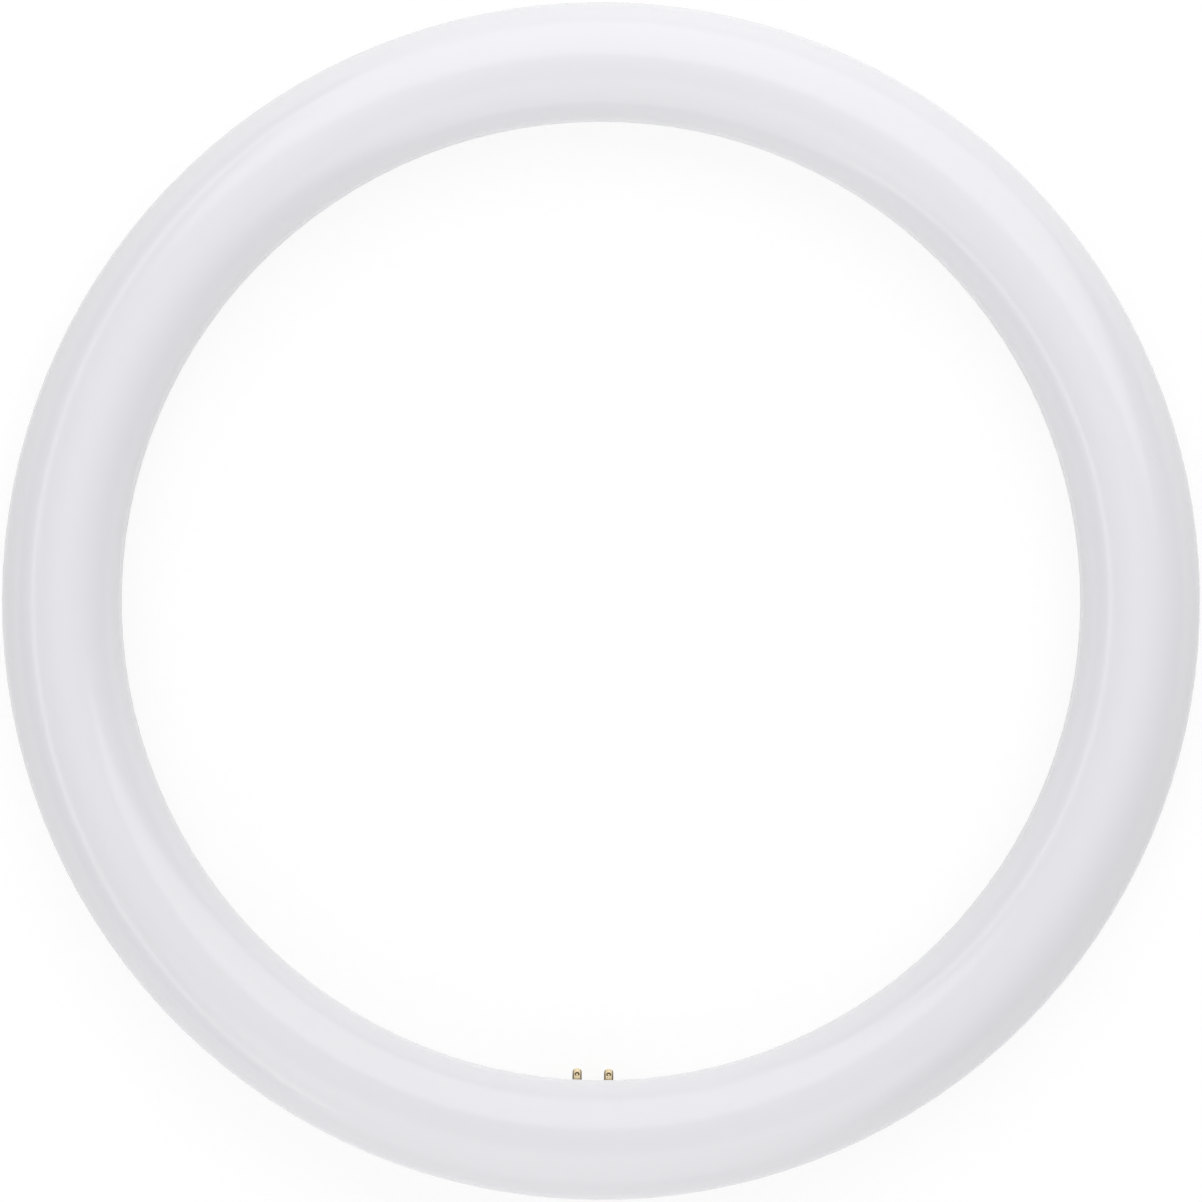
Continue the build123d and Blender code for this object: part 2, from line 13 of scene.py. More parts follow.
import bmesh
import bpy
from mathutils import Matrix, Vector


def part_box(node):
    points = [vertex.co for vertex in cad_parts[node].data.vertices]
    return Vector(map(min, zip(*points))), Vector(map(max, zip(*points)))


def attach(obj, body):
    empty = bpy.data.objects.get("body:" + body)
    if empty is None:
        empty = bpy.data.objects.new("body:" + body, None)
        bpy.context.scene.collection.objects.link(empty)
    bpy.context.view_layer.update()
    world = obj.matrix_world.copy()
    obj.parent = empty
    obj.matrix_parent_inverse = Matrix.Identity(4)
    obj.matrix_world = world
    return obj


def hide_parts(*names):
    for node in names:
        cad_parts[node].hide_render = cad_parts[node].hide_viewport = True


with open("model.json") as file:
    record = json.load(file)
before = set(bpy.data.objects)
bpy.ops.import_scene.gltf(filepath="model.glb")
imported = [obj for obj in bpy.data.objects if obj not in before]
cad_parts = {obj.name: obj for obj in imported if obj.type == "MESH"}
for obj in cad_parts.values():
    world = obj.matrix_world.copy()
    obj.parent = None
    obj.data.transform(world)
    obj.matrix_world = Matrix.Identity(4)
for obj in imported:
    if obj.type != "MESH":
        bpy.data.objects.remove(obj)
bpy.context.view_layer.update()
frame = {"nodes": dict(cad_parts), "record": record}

# %% [markdown]
# ## Read the tube's sizes from the frame
#
# A torus is known by two sizes: the radius of its middle line and the radius of its section. Both
# follow from the boxes of the two shells, so nothing here has to be measured by hand. The seam
# lies half way between the top of the front shell and the bottom of the rear one. The flat facets
# of the CAD mesh cut a few hundredths of a millimetre off the round on some sides, so the shell
# that is made here reaches only as far as the shortest side of that box.

# %% Sizes of the ring
front_low, front_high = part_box("front_diffuser")
rear_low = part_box("rear_housing")[0]
section_radius = (front_high.z - rear_low.z) / 2
seam_height = (front_high.z + rear_low.z) / 2
outer_radius = (front_high.x - front_low.x) / 2
ring_radius = outer_radius - section_radius
shell_reach = min(-front_low.x, -front_low.y, front_high.x, front_high.y)
shell_radius = min(section_radius, shell_reach - ring_radius)
print("ring radius", round(ring_radius, 5), "section radius", round(section_radius, 5))
print("radius of the shell's section", round(shell_radius, 5))

# %% [markdown]
# ## The camera
#
# The photograph looks straight at the front of the ring, from far away: the ring's outer edge and
# its inner edge are true circles about one centre. A long lens at a large distance gives the same
# flat view. The ring nearly fills the frame, and it is turned a little, so that the pins stand
# just left of the middle.

# %% Camera straight above the ring
photo_width = 1202
ring_width_in_photo = 1198.2
camera_distance = 6.0
camera_turn = math.radians(0.98)

camera_data = bpy.data.cameras.new("camera")
camera = bpy.data.objects.new("camera", camera_data)
bpy.context.scene.collection.objects.link(camera)
camera.location = (0, 0, seam_height + camera_distance)
camera.rotation_euler = (0, 0, camera_turn)
view_width = 2 * outer_radius * photo_width / ring_width_in_photo
camera_data.sensor_width = 36
camera_data.lens = camera_data.sensor_width * camera_distance / view_width
bpy.context.scene.camera = camera
print("lens", round(camera_data.lens, 1), "mm")

# %% [markdown]
# ## Nodes in short
#
# World and materials below are built from Math and Map Range nodes. Two helpers keep those cells
# short: one puts an arithmetic step on two values, and one makes a smooth ramp between two
# values, which is how a mask gets a soft edge.


# %% Node helpers
def combine(tree, operation, first, second):
    """One Math node on two values, either of which may be a plain number."""
    node = tree.nodes.new("ShaderNodeMath")
    node.operation = operation
    for socket, value in zip(node.inputs, (first, second)):
        if isinstance(value, (int, float)):
            socket.default_value = value
        else:
            tree.links.new(value, socket)
    return node.outputs["Value"]


def ramp(tree, value, start, end, to_start=0.0, to_end=1.0):
    """A smooth ramp over a value, from one level to another."""
    node = tree.nodes.new("ShaderNodeMapRange")
    node.interpolation_type = "SMOOTHSTEP"
    settings = {"From Min": start, "From Max": end, "To Min": to_start, "To Max": to_end}
    for name, setting in settings.items():
        if isinstance(setting, (int, float)):
            node.inputs[name].default_value = setting
        else:
            tree.links.new(setting, node.inputs[name])
    tree.links.new(value, node.inputs["Value"])
    return node.outputs["Result"]


def axes_of(tree, vector):
    """Splits a vector and returns its three outputs by name."""
    node = tree.nodes.new("ShaderNodeSeparateXYZ")
    tree.links.new(vector, node.inputs["Vector"])
    return node.outputs


# %% [markdown]
# ## Light
#
# White plastic needs even light, or it burns out. The world gives a plain level from above. It is
# darker at the left and right, as the walls of a studio are, and brighter on the near side. A
# very wide soft light stands behind the ring's far side and draws the broad soft band that runs
# round the tube in the photograph. A weaker one stands opposite, and a long narrow one at the
# left draws the thin line there. No lamp shows itself to the camera.

# %% World
world_level = 0.74
near_side_gain = 0.47
wall_level = 0.59
wall_from, wall_to = 0.1, 0.6

world = bpy.data.worlds.new("studio")
bpy.context.scene.world = world
world.use_nodes = True
studio = world.node_tree
studio.nodes.clear()
direction = studio.nodes.new("ShaderNodeTexCoord")
towards = axes_of(studio, direction.outputs["Generated"])
near_side = combine(studio, "MULTIPLY", towards["Y"], -near_side_gain)
near_side = combine(studio, "ADD", near_side, 1.0)
sideways = combine(studio, "ABSOLUTE", towards["X"], 0)
walls = ramp(studio, sideways, wall_from, wall_to, world_level, world_level * wall_level)
sky = studio.nodes.new("ShaderNodeBackground")
studio.links.new(combine(studio, "MULTIPLY", near_side, walls), sky.inputs["Strength"])
world_out = studio.nodes.new("ShaderNodeOutputWorld")
studio.links.new(sky.outputs["Background"], world_out.inputs["Surface"])
print("world level", world_level)


# %% Soft lights
def soft_light(name, azimuth, elevation, distance, half_width, half_height, brightness):
    """Adds a rectangular light that faces the ring. The angles are seen from the ring."""
    data = bpy.data.lights.new(name, "AREA")
    data.shape = "RECTANGLE"
    data.size = 2 * distance * math.tan(math.radians(half_width))
    data.size_y = 2 * distance * math.tan(math.radians(half_height))
    data.energy = brightness * math.pi * data.size * data.size_y
    light = bpy.data.objects.new(name, data)
    turn, lift = math.radians(azimuth), math.radians(elevation)
    towards = Vector(
        (math.sin(turn) * math.cos(lift), math.cos(turn) * math.cos(lift), math.sin(lift))
    )
    light.location = Vector((0, 0, seam_height)) + distance * towards
    light.rotation_euler = (-towards).to_track_quat("-Z", "Y").to_euler()
    light.visible_camera = False
    bpy.context.scene.collection.objects.link(light)
    print(name, "size", round(data.size, 2), round(data.size_y, 2), "power", round(data.energy, 1))


soft_light(
    "far_softbox",
    azimuth=13,
    elevation=38.7,
    distance=1.42,
    half_width=41.4,
    half_height=34,
    brightness=1.38,
)
soft_light(
    "near_softbox",
    azimuth=183,
    elevation=31,
    distance=1.8,
    half_width=31,
    half_height=31,
    brightness=0.75,
)
soft_light(
    "left_strip",
    azimuth=-90,
    elevation=31.5,
    distance=1.8,
    half_width=60,
    half_height=4.2,
    brightness=1.74,
)

# %% [markdown]
# ## The floor
#
# The photograph's background is pure white. More light would burn out the plastic too, so the
# floor itself is white where the camera or a reflection sees it: most of that is its own light,
# and the rest is matte, so a faint shadow still falls round the ring. For all other light it is a
# plain pale matte surface.

# %% Floor
floor_half = 3.0
floor_own_light = 0.82
floor_shadow_share = 0.2
floor_paleness = 0.73

floor_mesh = bpy.data.meshes.new("floor")
floor = bpy.data.objects.new("floor", floor_mesh)
bpy.context.scene.collection.objects.link(floor)
bm = bmesh.new()
bmesh.ops.create_grid(bm, x_segments=1, y_segments=1, size=floor_half)
bm.to_mesh(floor_mesh)
bm.free()

# %% Floor material
floor_material = bpy.data.materials.new("white_floor")
floor_material.use_nodes = True
floor_tree = floor_material.node_tree
floor_tree.nodes.clear()
ray = floor_tree.nodes.new("ShaderNodeLightPath")
seen = combine(floor_tree, "MAXIMUM", ray.outputs["Is Camera Ray"], ray.outputs["Is Glossy Ray"])
seen = combine(floor_tree, "MAXIMUM", seen, ray.outputs["Is Transmission Ray"])
matte = floor_tree.nodes.new("ShaderNodeBsdfDiffuse")
matte.inputs["Color"].default_value = (floor_paleness, floor_paleness, floor_paleness, 1)
shadow = floor_tree.nodes.new("ShaderNodeBsdfDiffuse")
shadow.inputs["Color"].default_value = (floor_shadow_share,) * 3 + (1,)
glow = floor_tree.nodes.new("ShaderNodeEmission")
glow.inputs["Strength"].default_value = floor_own_light
white = floor_tree.nodes.new("ShaderNodeAddShader")
choice = floor_tree.nodes.new("ShaderNodeMixShader")
floor_out = floor_tree.nodes.new("ShaderNodeOutputMaterial")
floor_tree.links.new(shadow.outputs["BSDF"], white.inputs[0])
floor_tree.links.new(glow.outputs["Emission"], white.inputs[1])
floor_tree.links.new(seen, choice.inputs["Fac"])
floor_tree.links.new(matte.outputs["BSDF"], choice.inputs[1])
floor_tree.links.new(white.outputs["Shader"], choice.inputs[2])
floor_tree.links.new(choice.outputs["Shader"], floor_out.inputs["Surface"])
floor_mesh.materials.append(floor_material)

# %% [markdown]
# ## Moulded skin
#
# Moulded plastic is never quite even: its colour drifts a little, its gloss drifts with it, and
# its skin has a fine, shallow waviness. An image would do for one piece. A node group with named
# inputs does for all of them, and each material gives it its own colour and amounts. It reads
# object coordinates, which stay with the piece in every view.


# %% Start a group
def start_group(name, inputs, outputs):
    """A new node group with its sockets. Returns its tree, its inputs and its output node."""
    tree = bpy.data.node_groups.new(name, "ShaderNodeTree")
    kinds = {
        "colour": "NodeSocketColor",
        "number": "NodeSocketFloat",
        "vector": "NodeSocketVector",
    }
    for socket, kind in inputs.items():
        tree.interface.new_socket(socket, in_out="INPUT", socket_type=kinds[kind])
    for socket, kind in outputs.items():
        tree.interface.new_socket(socket, in_out="OUTPUT", socket_type=kinds[kind])
    given = tree.nodes.new("NodeGroupInput").outputs
    return tree, given, tree.nodes.new("NodeGroupOutput").inputs


# %% Moulded skin as a node group
ripple_scale = 260
ripple_depth = 0.0004
skin, given, made = start_group(
    "moulded_skin",
    {
        "Colour": "colour",
        "Drift": "number",
        "Scale": "number",
        "Roughness": "number",
        "Waviness": "number",
    },
    {"Colour": "colour", "Roughness": "number", "Normal": "vector"},
)
place = skin.nodes.new("ShaderNodeTexCoord").outputs["Object"]
cloud = skin.nodes.new("ShaderNodeTexNoise")
cloud.inputs["Detail"].default_value = 3
skin.links.new(place, cloud.inputs["Vector"])
skin.links.new(given["Scale"], cloud.inputs["Scale"])
amount = combine(skin, "SUBTRACT", cloud.outputs["Fac"], 0.5)
amount = combine(skin, "MULTIPLY", amount, given["Drift"])
tint = skin.nodes.new("ShaderNodeVectorMath")
tint.operation = "SCALE"
skin.links.new(given["Colour"], tint.inputs[0])
skin.links.new(combine(skin, "ADD", amount, 1.0), tint.inputs["Scale"])
skin.links.new(tint.outputs["Vector"], made["Colour"])
skin.links.new(combine(skin, "ADD", given["Roughness"], amount), made["Roughness"])

ripple = skin.nodes.new("ShaderNodeTexNoise")
ripple.inputs["Scale"].default_value = ripple_scale
ripple.inputs["Detail"].default_value = 2
skin.links.new(place, ripple.inputs["Vector"])
bump = skin.nodes.new("ShaderNodeBump")
bump.inputs["Distance"].default_value = ripple_depth
skin.links.new(given["Waviness"], bump.inputs["Strength"])
skin.links.new(ripple.outputs["Fac"], bump.inputs["Height"])
skin.links.new(bump.outputs["Normal"], made["Normal"])


# %% Plastic and metal from the group
def plastic(name, colour, roughness, drift=0.05, scale=20, waviness=0.05):
    """A moulded plastic with its own colour, gloss and unevenness."""
    material = bpy.data.materials.new(name)
    material.use_nodes = True
    tree = material.node_tree
    shader = tree.nodes["Principled BSDF"]
    group = tree.nodes.new("ShaderNodeGroup")
    group.name = "skin"
    group.node_tree = skin
    group.inputs["Colour"].default_value = (*colour, 1)
    group.inputs["Drift"].default_value = drift
    group.inputs["Scale"].default_value = scale
    group.inputs["Roughness"].default_value = roughness
    group.inputs["Waviness"].default_value = waviness
    tree.links.new(group.outputs["Colour"], shader.inputs["Base Color"])
    tree.links.new(group.outputs["Roughness"], shader.inputs["Roughness"])
    tree.links.new(group.outputs["Normal"], shader.inputs["Normal"])
    return material


def metal(name, colour, roughness, drift=0.1, scale=400, waviness=0.05):
    """A metal whose colour and gloss drift with handling and tarnish."""
    material = plastic(name, colour, roughness, drift, scale, waviness)
    material.node_tree.nodes["Principled BSDF"].inputs["Metallic"].default_value = 1.0
    return material


finished = []


def give_finish(node, finish):
    """Puts one material on a piece that the CAD model gives, and notes that it has one."""
    mesh = frame["nodes"][node].data
    mesh.materials.clear()
    mesh.materials.append(finish)
    finished.append(node)


# %% [markdown]
# ## The front shell
#
# The front shell is half of a tube, so a section of it drawn once and turned about the ring's axis
# gives the whole piece. A torus cut in half would do for the outside, but the real shell has a
# wall, a small chamfer at the seam and a tongue that drops into the rear shell. Its section is a
# closed line with all of these. Arcs come from turning one vertex about the middle of the
# section, and the ring from turning the section about the ring's axis. A spin that merges its
# ends leaves its faces in an order that changes from run to run. They are sorted by their
# corners, so that each run gives the same mesh.

# %% Measures of the shell
ring_steps = 288
arc_steps = 48
same_place = 1e-6
wall = 0.0016
lip = 0.0008
lap_clearance = 0.0001
tongue_depth = 0.0015
seam_chamfer = 0.0002
inner_radius = section_radius - wall
tongue_side = section_radius - lip - lap_clearance
rim_angle = math.degrees(math.asin(seam_chamfer / shell_radius))
print("inner radius", round(inner_radius, 5), "side of the tongue", round(tongue_side, 5))


# %% Draw a section and turn it
def section_point(bm, outward, up):
    """A vertex of the section, which is drawn where the ring crosses the XZ plane."""
    return bm.verts.new((ring_radius + outward, 0, seam_height + up))


def section_arc(bm, start, degrees, steps):
    """Turns a vertex about the middle of the section, and returns the vertex it ends at."""
    turned = bmesh.ops.spin(
        bm,
        geom=[start],
        cent=(ring_radius, 0, seam_height),
        axis=(0, -1, 0),
        angle=math.radians(degrees),
        steps=steps,
    )
    return next(v for v in turned["geom_last"] if isinstance(v, bmesh.types.BMVert))


def join_points(bm, points):
    """Draws the straight runs of the section."""
    for first, second in zip(points, points[1:]):
        bm.edges.new((first, second))


def face_rank(face, count):
    """One number for a face, from the lowest and the highest index of its corners."""
    corners = [corner.index for corner in face.verts]
    return min(corners) * count + max(corners)


def turn_about_ring(bm):
    """Turns the section once about the ring's axis, closes the turn, and sorts the faces."""
    bmesh.ops.remove_doubles(bm, verts=bm.verts[:], dist=same_place)
    bmesh.ops.spin(
        bm,
        geom=bm.verts[:] + bm.edges[:],
        cent=(0, 0, 0),
        axis=(0, 0, 1),
        angle=math.tau,
        steps=ring_steps,
        use_merge=True,
    )
    bmesh.ops.remove_doubles(bm, verts=bm.verts[:], dist=same_place)
    bmesh.ops.recalc_face_normals(bm, faces=bm.faces[:])
    bm.verts.index_update()
    count = len(bm.verts)
    bm.faces.sort(key=lambda face: face_rank(face, count))


# %% Section of the front shell
bm = bmesh.new()
rim_out = shell_radius * math.cos(math.radians(rim_angle))
outer_start = section_point(bm, rim_out, seam_chamfer)
outer_end = section_arc(bm, outer_start, 180 - 2 * rim_angle, arc_steps)
for start, side in ((outer_start, 1), (outer_end, -1)):
    steps_down = [
        (side * (shell_radius - seam_chamfer), 0),
        (side * tongue_side, 0),
        (side * tongue_side, -tongue_depth),
        (side * inner_radius, -tongue_depth),
        (side * inner_radius, 0),
    ]
    join_points(bm, [start] + [section_point(bm, *step) for step in steps_down])
inner_start = section_point(bm, inner_radius, 0)
section_arc(bm, inner_start, 180, arc_steps)
turn_about_ring(bm)

# %% [markdown]
# ## Smooth shading
#
# The arcs must look round and the chamfer and the tongue must stay crisp. All faces are shaded
# smooth, and each edge that bends by more than 30 degrees is marked sharp.

# %% Finish the mesh
smooth_limit = math.radians(30)
for face in bm.faces:
    face.smooth = True
for edge in bm.edges:
    edge.smooth = edge.calc_face_angle(math.pi) < smooth_limit
shell_mesh = bpy.data.meshes.new("front_shell")
bm.to_mesh(shell_mesh)
bm.free()
front_shell = bpy.data.objects.new("front_shell", shell_mesh)
bpy.context.scene.collection.objects.link(front_shell)
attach(front_shell, "root")
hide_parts("front_diffuser")
print("front shell", len(shell_mesh.polygons), "faces")

# %% [markdown]
# ## Opal plastic
#
# The shell is opal: light goes a few millimetres into it and scatters, which softens its shadows,
# and its surface is smooth and glossy. A little subsurface scattering under a clear gloss gives
# both. The white leans slightly to blue, as the photograph's does. The gloss is sharp enough to
# show the edges of the lamps as faint lines along the tube.

# %% Opal finish
opal = plastic("opal_plastic", (0.80, 0.796, 0.83), 0.2, drift=0.02, scale=8, waviness=0.02)
opal_shader = opal.node_tree.nodes["Principled BSDF"]
opal_shader.inputs["IOR"].default_value = 1.55
opal_shader.inputs["Subsurface Weight"].default_value = 0.12
opal_shader.inputs["Subsurface Radius"].default_value = (0.003, 0.003, 0.003)
opal_shader.inputs["Subsurface Scale"].default_value = 1.0
shell_mesh.materials.append(opal)

# %% [markdown]
# ## Rear shell and base
#
# The rear shell is opaque white plastic, a little less glossy than the opal. The base is moulded
# from a harder, duller one, with a fine grain from its mould. Both keep their CAD form, which has
# the flat for the base, its recess and the seam.

# %% White plastics
white_shell = plastic("white_plastic", (0.81, 0.81, 0.82), 0.3, drift=0.02, scale=8, waviness=0.02)
give_finish("rear_housing", white_shell)
base_grain = plastic("base_plastic", (0.76, 0.76, 0.75), 0.42, drift=0.04, scale=60, waviness=0.2)
give_finish("pin_base", base_grain)
print("finished", finished)

# %% [markdown]
# ## The contact pins
#
# The pins are turned brass. Their left and right sides, a ring round the crimp mark and the root
# are painted a dull dark brown: painted shade that stands in for the dark reflections at the
# pins' sides, the shade at the rim of the dimple and the shade where each pin meets the ring. In
# the
# photograph that is what draws them: a light middle between two dark edges. The record gives each
# pin's place and direction, and a Mapping node turns object coordinates into the pin's own, where
# z runs along it. The painted shade then is plain distances: from the middle plane, from the crimp
# mark, and from the root.

# %% The pins' measures
pin_mounts = {m["name"]: m for m in frame["record"]["mounts"] if m["kind"] == "pin"}
any_pin = next(iter(pin_mounts.values()))
pin_radius = any_pin["dims"]["r_mm"] / 1000
pin_length = any_pin["dims"]["length_mm"] / 1000
mount_above_face = 0.003
tip_above_mount = pin_length - mount_above_face
crimp_below_tip = 0.0022
crimp_radius = 0.00065
pin_lean = math.radians(-135)
print(len(pin_mounts), "pins, radius", pin_radius, "length", pin_length)

# %% Where the painted shade starts and ends
# Painted shade on the sides: the middle of each pin keeps its bright brass, and its sides are
# painted dark
unshaded_half = 0.45 * pin_radius
shaded_from = 0.85 * pin_radius
side_fades_from, side_fades_to = 0.0010, 0.0035
side_at_tip = 0.7
# Painted shade at the root of each pin, where the ring shades it
root_unshaded_at, root_shaded_at = 0.0014, -0.0006
root_shade = 0.7
# Painted shade in a ring at the rim of the crimp mark, where the dimple is shaded; its middle
# stays bright
crimp_clear_within = 0.5 * crimp_radius
crimp_dark_from = 0.75 * crimp_radius
crimp_dark_to = 0.85 * crimp_radius
crimp_clear_beyond = 1.15 * crimp_radius
print("bright up to", round(unshaded_half, 5), "from the middle, dull from", round(shaded_from, 5))

# %% Painted shade of a pin as a node group
spot_scale = 1600
spot_strength = 0.5
spot_base = 0.9
pin_painted_shade, given, made = start_group(
    "pin_painted_shade",
    {"Place": "vector", "Crimp": "vector", "Bright": "colour", "PaintedShade": "colour"},
    {"Colour": "colour", "Roughness": "number", "Normal": "vector"},
)
pin_axes = axes_of(pin_painted_shade, given["Place"])
sideways = combine(pin_painted_shade, "ABSOLUTE", pin_axes["X"], 0)
# Painted shade on the left and right sides, strongest near the root and a little weaker at the tip
side_shade_amount = ramp(pin_painted_shade, pin_axes["Z"], side_fades_from, side_fades_to, 1.0, side_at_tip)
side_shade = ramp(pin_painted_shade, sideways, unshaded_half, shaded_from, 0, side_shade_amount)
from_crimp = pin_painted_shade.nodes.new("ShaderNodeVectorMath")
from_crimp.operation = "DISTANCE"
pin_painted_shade.links.new(given["Place"], from_crimp.inputs[0])
pin_painted_shade.links.new(given["Crimp"], from_crimp.inputs[1])
crimp_distance = from_crimp.outputs["Value"]
# Painted shade in a ring round the crimp mark
inside = ramp(pin_painted_shade, crimp_distance, crimp_clear_beyond, crimp_dark_to)
off_centre = ramp(pin_painted_shade, crimp_distance, crimp_clear_within, crimp_dark_from)
in_crimp = combine(pin_painted_shade, "MULTIPLY", inside, off_centre)
# Painted shade at the root of the pin
at_root = ramp(pin_painted_shade, pin_axes["Z"], root_unshaded_at, root_shaded_at, 0, root_shade)
# The three painted shades together, made uneven by noise
painted_shade = combine(pin_painted_shade, "MAXIMUM", side_shade, in_crimp)
painted_shade = combine(pin_painted_shade, "MAXIMUM", painted_shade, at_root)
spots = pin_painted_shade.nodes.new("ShaderNodeTexNoise")
spots.inputs["Scale"].default_value = spot_scale
spots.inputs["Detail"].default_value = 3
pin_painted_shade.links.new(given["Place"], spots.inputs["Vector"])
uneven = combine(pin_painted_shade, "MULTIPLY", spots.outputs["Fac"], spot_strength)
painted_shade = combine(pin_painted_shade, "MULTIPLY", painted_shade, combine(pin_painted_shade, "ADD", uneven, spot_base))

# %% Colour, gloss and lathe marks of a pin
bright_roughness = 0.18
roughness_where_shaded = 0.2
lathe_scale = 2400
lathe_depth = 0.00005

# The painted shade mixes the bright brass towards a dark brown, and makes it a little rougher
# there
brass_colour = pin_painted_shade.nodes.new("ShaderNodeMix")
brass_colour.data_type = "RGBA"
pin_painted_shade.links.new(painted_shade, brass_colour.inputs["Factor"])
pin_painted_shade.links.new(given["Bright"], brass_colour.inputs["A"])
pin_painted_shade.links.new(given["PaintedShade"], brass_colour.inputs["B"])
pin_painted_shade.links.new(brass_colour.outputs["Result"], made["Colour"])
dulled = combine(pin_painted_shade, "MULTIPLY", painted_shade, roughness_where_shaded)
pin_painted_shade.links.new(combine(pin_painted_shade, "ADD", dulled, bright_roughness), made["Roughness"])
lathe = pin_painted_shade.nodes.new("ShaderNodeTexWave")
lathe.wave_type = "BANDS"
lathe.bands_direction = "Z"
lathe.inputs["Scale"].default_value = lathe_scale
lathe.inputs["Distortion"].default_value = 1.5
pin_painted_shade.links.new(given["Place"], lathe.inputs["Vector"])
marks = pin_painted_shade.nodes.new("ShaderNodeBump")
marks.inputs["Strength"].default_value = 0.08
marks.inputs["Distance"].default_value = lathe_depth
pin_painted_shade.links.new(lathe.outputs["Fac"], marks.inputs["Height"])
pin_painted_shade.links.new(marks.outputs["Normal"], made["Normal"])


# %% A piece's own coordinates
def own_place(tree, centre, turn):
    """Object coordinates, seen from a piece's own centre and turn."""
    mapping = tree.nodes.new("ShaderNodeMapping")
    mapping.vector_type = "TEXTURE"
    mapping.inputs["Location"].default_value = centre
    mapping.inputs["Rotation"].default_value = turn
    coordinates = tree.nodes.new("ShaderNodeTexCoord")
    tree.links.new(coordinates.outputs["Object"], mapping.inputs["Vector"])
    return mapping.outputs["Vector"]


# %% A brass for each pin
bright_brass = (0.875, 0.735, 0.48)
# The dark brown of the painted shade on the pins
painted_shade_brass = (0.134, 0.093, 0.047)


def pin_brass(mount, row_side):
    """Brass with painted shade, in one pin's own coordinates. The crimp mark is on the outer side
    of its row.
    """
    material = bpy.data.materials.new(mount["name"] + "_brass")
    material.use_nodes = True
    tree = material.node_tree
    shader = tree.nodes["Principled BSDF"]
    shader.inputs["Metallic"].default_value = 1.0
    shade_paint = tree.nodes.new("ShaderNodeGroup")
    shade_paint.node_tree = pin_painted_shade
    crimp_height = tip_above_mount - crimp_below_tip
    shade_paint.inputs["Crimp"].default_value = (0, row_side * pin_radius, crimp_height)
    shade_paint.inputs["Bright"].default_value = (*bright_brass, 1)
    shade_paint.inputs["PaintedShade"].default_value = (*painted_shade_brass, 1)
    tree.links.new(own_place(tree, mount["pos_m"], (pin_lean, 0, 0)), shade_paint.inputs["Place"])
    tree.links.new(shade_paint.outputs["Colour"], shader.inputs["Base Color"])
    tree.links.new(shade_paint.outputs["Roughness"], shader.inputs["Roughness"])
    tree.links.new(shade_paint.outputs["Normal"], shader.inputs["Normal"])
    return material


for row, row_side in (("front", -1), ("rear", 1)):
    for side in ("left", "right"):
        brass = pin_brass(pin_mounts[f"pin_{row}_{side}"], row_side)
        give_finish(f"contact_pin_{row}_{side}", brass)
print(finished[-4:])

# %% [markdown]
# ## Two finishes on one piece
#
# Many parts inside are one solid with two finishes: a board has a coated face and a bare edge, a
# resistor block has tinned ends, a capacitor has a sleeve and a bare end. Splitting their meshes
# would touch the CAD. A mask does it in the material: where it is 1, the second colour, gloss and
# metal show. The mask is always a distance in the piece's own coordinates: x runs along the ring,
# y to the ring's centre, and z up. A place on the ring is an angle from the base and an offset
# outwards, as in the part's own plan.


# %% Own coordinates on the ring
base_angle = -90


def ring_place(tree, angle, outward, level):
    """Coordinates at a place on the ring: x along it, y to its centre, z up from a level."""
    at = math.radians(base_angle + angle)
    reach = ring_radius + outward
    centre = (reach * math.cos(at), reach * math.sin(at), level)
    return axes_of(tree, own_place(tree, centre, (0, 0, at + math.pi / 2)))


def height_above(tree, level):
    """How far a point is above a level."""
    spot = tree.nodes.new("ShaderNodeTexCoord").outputs["Object"]
    return combine(tree, "SUBTRACT", axes_of(tree, spot)["Z"], level)


def length_of(tree, vector):
    """The length of a vector."""
    node = tree.nodes.new("ShaderNodeVectorMath")
    node.operation = "LENGTH"
    tree.links.new(vector, node.inputs[0])
    return node.outputs["Value"]


# %% Masks by distance
mask_edge = 0.00005


def below(tree, value, limit):
    """1 where a value is under its limit."""
    return ramp(tree, value, limit + mask_edge, limit - mask_edge)


def between(tree, value, low, high):
    """1 where a value is between two limits."""
    risen = ramp(tree, value, low - mask_edge, low + mask_edge)
    return combine(tree, "MULTIPLY", risen, below(tree, value, high))


def beyond(tree, value, limit):
    """1 where a value is past its limit, on either side of zero."""
    away = combine(tree, "ABSOLUTE", value, 0)
    return ramp(tree, away, limit - mask_edge, limit + mask_edge)


# %% A second finish over the first
tinned = {"colour": (0.72, 0.72, 0.70), "roughness": 0.3, "metallic": True}
aluminium = {"colour": (0.66, 0.67, 0.68), "roughness": 0.35, "metallic": True}


def paint(tree, under, mask, colour):
    """A plain colour over another one, where the mask is 1."""
    mix = tree.nodes.new("ShaderNodeMix")
    mix.data_type = "RGBA"
    tree.links.new(mask, mix.inputs["Factor"])
    tree.links.new(under, mix.inputs["A"])
    mix.inputs["B"].default_value = (*colour, 1)
    return mix.outputs["Result"]


def show_second(material, mask, colour, roughness, metallic=False, under=None):
    """Lays a second finish over a material, or over its painted colour, where the mask is 1."""
    tree = material.node_tree
    shader = tree.nodes["Principled BSDF"]
    group = tree.nodes["skin"]
    if under is None:
        under = group.outputs["Colour"]
    tree.links.new(paint(tree, under, mask, colour), shader.inputs["Base Color"])
    blend = tree.nodes.new("ShaderNodeMix")
    tree.links.new(mask, blend.inputs["Factor"])
    tree.links.new(group.outputs["Roughness"], blend.inputs["A"])
    blend.inputs["B"].default_value = roughness
    tree.links.new(blend.outputs["Result"], shader.inputs["Roughness"])
    if metallic:
        tree.links.new(mask, shader.inputs["Metallic"])


